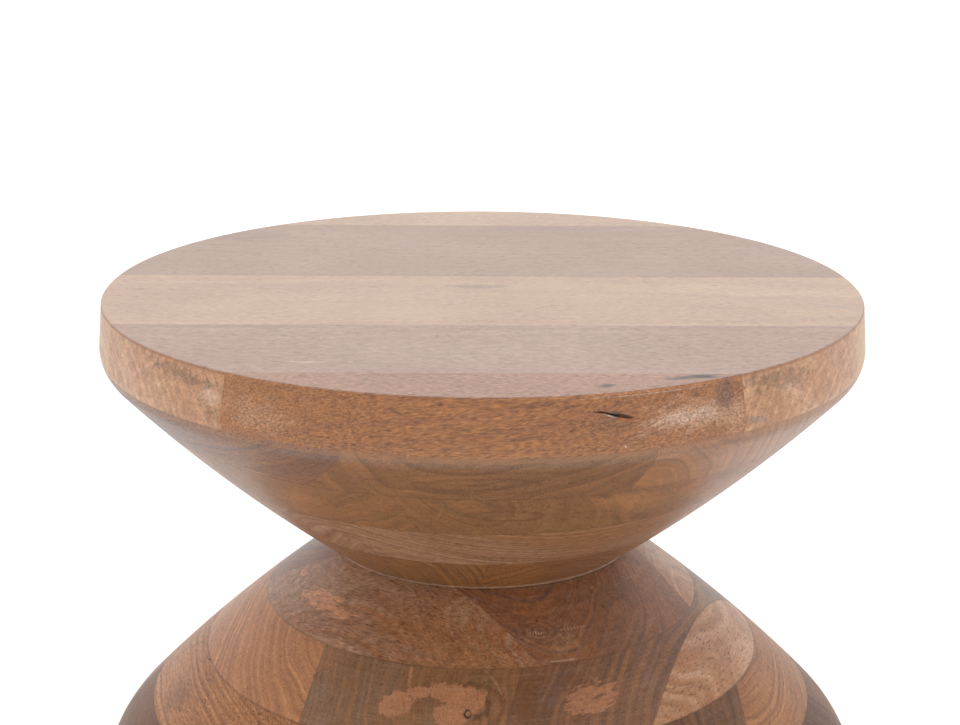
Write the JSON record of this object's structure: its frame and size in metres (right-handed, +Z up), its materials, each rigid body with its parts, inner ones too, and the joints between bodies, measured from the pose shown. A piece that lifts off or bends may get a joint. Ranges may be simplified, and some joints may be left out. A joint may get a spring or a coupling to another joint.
{
  "type": "side table",
  "caption": "Round hourglass side table, turned from stacked and edge-glued hardwood planks, with a flat top, a narrow waist and a wide base on felt pads.",
  "frame": {"origin": "centre of the table on the floor, under its felt pads", "axes": "+Z up along the axis that the table was turned on, +X along the grain of the tabletop planks"},
  "size_m": [0.5182, 0.5182, 0.352],
  "materials": {
    "pale_wood": "satin lacquer",
    "tan_wood": "satin lacquer",
    "brown_wood": "satin lacquer",
    "dark_wood": "satin lacquer",
    "dowel_wood": "bare, planed",
    "felt": "pressed felt"
  },
  "bodies": {
    "root": {"bowl_plank_1": "tan_wood", "bowl_plank_2": "brown_wood", "bowl_plank_3": "brown_wood", "bowl_plank_4": "tan_wood", "collar_plank_1": "tan_wood", "collar_plank_2": "brown_wood", "collar_plank_3": "dark_wood", "felt_pad_1": "felt", "felt_pad_2": "felt", "felt_pad_3": "felt", "felt_pad_4": "felt", "flank_plank_1": "tan_wood", "flank_plank_2": "brown_wood", "flank_plank_3": "dark_wood", "flank_plank_4": "tan_wood", "foot_plank_1": "brown_wood", "foot_plank_2": "brown_wood", "foot_plank_3": "brown_wood", "foot_plank_4": "brown_wood", "hip_plank_1": "dark_wood", "hip_plank_2": "dark_wood", "hip_plank_3": "dark_wood", "hip_plank_4": "dark_wood", "neck_plank_1": "brown_wood", "neck_plank_2": "brown_wood", "shoulder_plank_1": "brown_wood", "shoulder_plank_2": "tan_wood", "shoulder_plank_3": "brown_wood", "shoulder_plank_4": "dark_wood", "skirt_plank_1": "tan_wood", "skirt_plank_2": "tan_wood", "skirt_plank_3": "tan_wood", "skirt_plank_4": "tan_wood", "tabletop_plank_1": "tan_wood", "tabletop_plank_2": "pale_wood", "tabletop_plank_3": "pale_wood", "tabletop_plank_4": "pale_wood", "tabletop_plank_5": "pale_wood", "throat_plank_1": "brown_wood", "throat_plank_2": "brown_wood", "throat_plank_3": "brown_wood", "waist_dowel_1": "dowel_wood", "waist_dowel_2": "dowel_wood", "waist_dowel_3": "dowel_wood", "waist_dowel_4": "dowel_wood"}
  },
  "joints": []
}
